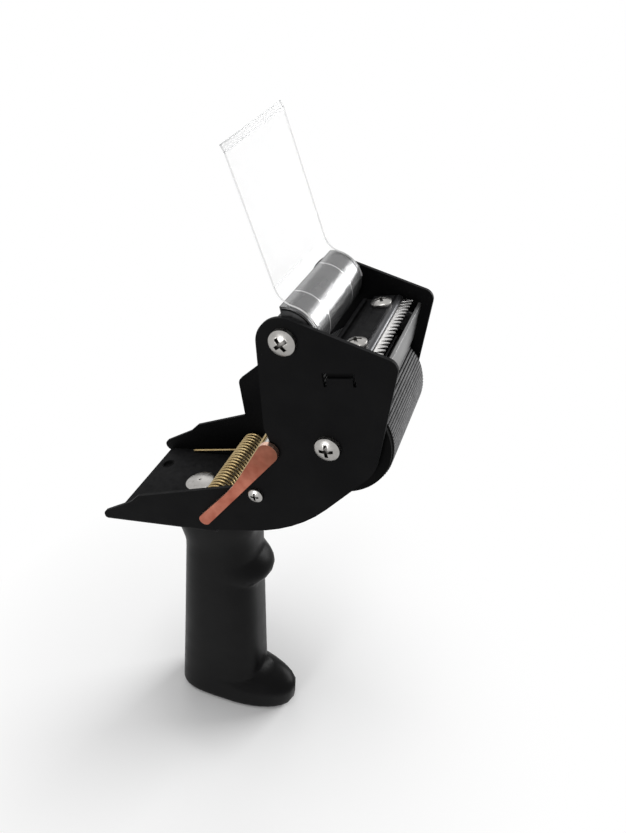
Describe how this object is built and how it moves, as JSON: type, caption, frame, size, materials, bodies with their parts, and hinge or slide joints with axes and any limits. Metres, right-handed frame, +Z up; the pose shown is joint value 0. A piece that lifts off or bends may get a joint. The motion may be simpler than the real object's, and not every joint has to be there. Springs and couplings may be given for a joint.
{
  "type": "tape_dispenser",
  "caption": "Hand-held packing tape dispenser with a folded steel frame, ribbed front roller, serrated blade, clear wiper flap, sprung brake lever and a pistol grip.",
  "frame": {"origin": "Centre of the grip's flat base, on the ground it stands on.", "axes": "X points forward, from the grip to the blade; Y points from the lever side to the closed side; Z points up along the grip."},
  "size_m": [0.1252, 0.0616, 0.3025],
  "materials": {
    "black_paint": "satin",
    "grip_plastic": "matte",
    "black_plastic": "satin",
    "nickel": "bright",
    "plain_steel": "satin",
    "bright_chrome": "polished",
    "blade_steel": "bright",
    "grey_steel": "satin",
    "roller_rubber": "matte",
    "clear_sheet": "clear",
    "copper_lever": "copper-toned",
    "yellow_zinc": "satin"
  },
  "bodies": {
    "frame": {"main_frame": "black_paint", "floor_plug": "black_plastic", "handle_grip": "grip_plastic", "handle_bolts": "nickel", "tie_rod": "plain_steel", "tie_screws": "nickel", "front_roller_axle": "plain_steel", "front_roller_washers": "plain_steel", "front_axle_screws": "nickel", "drum_axle": "plain_steel", "drum_washers": "plain_steel", "drum_axle_screws": "nickel", "blade_bracket": "black_paint", "cutting_blade": "blade_steel", "blade_clamp": "black_paint", "blade_strip": "grey_steel", "blade_screws": "nickel", "blade_nuts": "plain_steel", "front_guard": "grey_steel", "torsion_spring": "yellow_zinc"},
    "front_roller": {"front_roller_core": "black_plastic", "front_roller_sleeve": "roller_rubber"},
    "flap": {"flap_drum": "bright_chrome", "drum_bushes": "black_plastic", "wiper_flap": "clear_sheet"},
    "brake": {"brake_shaft": "plain_steel", "brake_lever": "copper_lever", "brake_bar": "nickel", "shaft_ring": "plain_steel"}
  },
  "joints": [
    {"name": "front_roller_spin", "type": "hinge", "parent": "frame", "child": "front_roller", "pos_m": [0.0609, 0, 0.206], "axis": [0, 1, 0], "continuous": true},
    {"name": "flap_swing", "type": "hinge", "parent": "frame", "child": "flap", "pos_m": [0.0453, 0, 0.2445], "axis": [0, 1, 0], "range_deg": [-30, 75]},
    {"name": "brake_swing", "type": "hinge", "parent": "frame", "child": "brake", "pos_m": [0.0098, 0, 0.1574], "axis": [0, 1, 0], "range_deg": [-40, 0], "stiffness_Nm_per_rad": 0.2, "springref_deg": 34.38, "deforming": ["torsion_spring"]}
  ]
}
